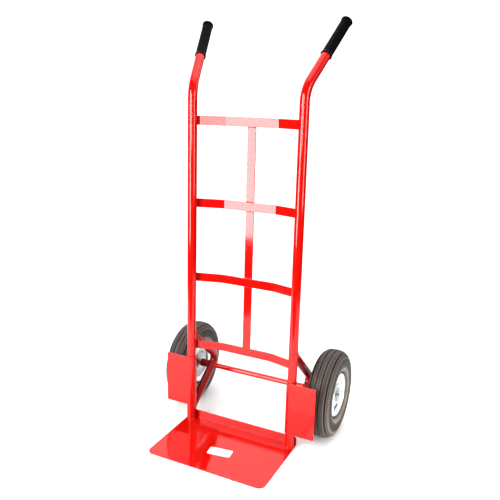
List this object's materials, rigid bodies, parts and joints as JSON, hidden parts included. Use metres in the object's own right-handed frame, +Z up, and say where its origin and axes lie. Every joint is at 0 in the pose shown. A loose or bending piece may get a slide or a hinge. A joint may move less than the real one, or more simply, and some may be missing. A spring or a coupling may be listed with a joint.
{
  "type": "hand truck",
  "caption": "Upright hand truck: welded steel tube frame with bent-back gripped handles, folded toe plate, wheel guards and pneumatic wheels on a fixed axle.",
  "frame": {"origin": "on the floor under the middle of the object's box, with the toe plate flat and both tyres on the floor", "axes": "+X to the right as seen from the toe plate's side and along the axle, -Y the way the toe plate points, +Z up along the rails"},
  "size_m": [0.5434, 0.4801, 1.1978],
  "materials": {
    "frame_paint": "gloss powder coat",
    "grip_rubber": "matte, finely fluted",
    "tyre_rubber": "matte, ribbed tread",
    "tube_rubber": "smooth",
    "zinc": "bright zinc plate",
    "bearing_steel": "ground",
    "cap_plastic": "moulded",
    "label": "coated paper"
  },
  "bodies": {
    "frame": {"left_rail": "frame_paint", "right_rail": "frame_paint", "left_grip": "grip_rubber", "right_grip": "grip_rubber", "left_wheel_guard": "frame_paint", "right_wheel_guard": "frame_paint", "left_axle_bracket": "frame_paint", "right_axle_bracket": "frame_paint", "left_axle_collar": "frame_paint", "right_axle_collar": "frame_paint", "left_bearing_inner_rings": "bearing_steel", "right_bearing_inner_rings": "bearing_steel", "bottom_crossbar": "frame_paint", "lower_crossbar": "frame_paint", "upper_crossbar": "frame_paint", "top_crossbar": "frame_paint", "centre_strip": "frame_paint", "toe_plate": "frame_paint", "blank_label": "label", "axle": "frame_paint", "axle_washers": "zinc", "split_pins": "zinc"},
    "left_wheel": {"left_tyre": "tyre_rubber", "left_inner_tube": "tube_rubber", "left_rim_band": "zinc", "left_outer_disc": "zinc", "left_inner_disc": "zinc", "left_hub": "zinc", "left_bearing_outer_rings": "bearing_steel", "left_bearing_balls": "bearing_steel", "left_bearing_shields": "bearing_steel", "left_valve_stem": "tube_rubber", "left_valve_cap": "cap_plastic"},
    "right_wheel": {"right_tyre": "tyre_rubber", "right_inner_tube": "tube_rubber", "right_rim_band": "zinc", "right_outer_disc": "zinc", "right_inner_disc": "zinc", "right_hub": "zinc", "right_bearing_outer_rings": "bearing_steel", "right_bearing_balls": "bearing_steel", "right_bearing_shields": "bearing_steel", "right_valve_stem": "tube_rubber", "right_valve_cap": "cap_plastic"}
  },
  "joints": [
    {"name": "left_wheel_spin", "type": "hinge", "parent": "frame", "child": "left_wheel", "pos_m": [-0.2351, 0.11005, 0.13], "axis": [1, 0, 0], "continuous": true},
    {"name": "right_wheel_spin", "type": "hinge", "parent": "frame", "child": "right_wheel", "pos_m": [0.2351, 0.11005, 0.13], "axis": [1, 0, 0], "continuous": true}
  ]
}
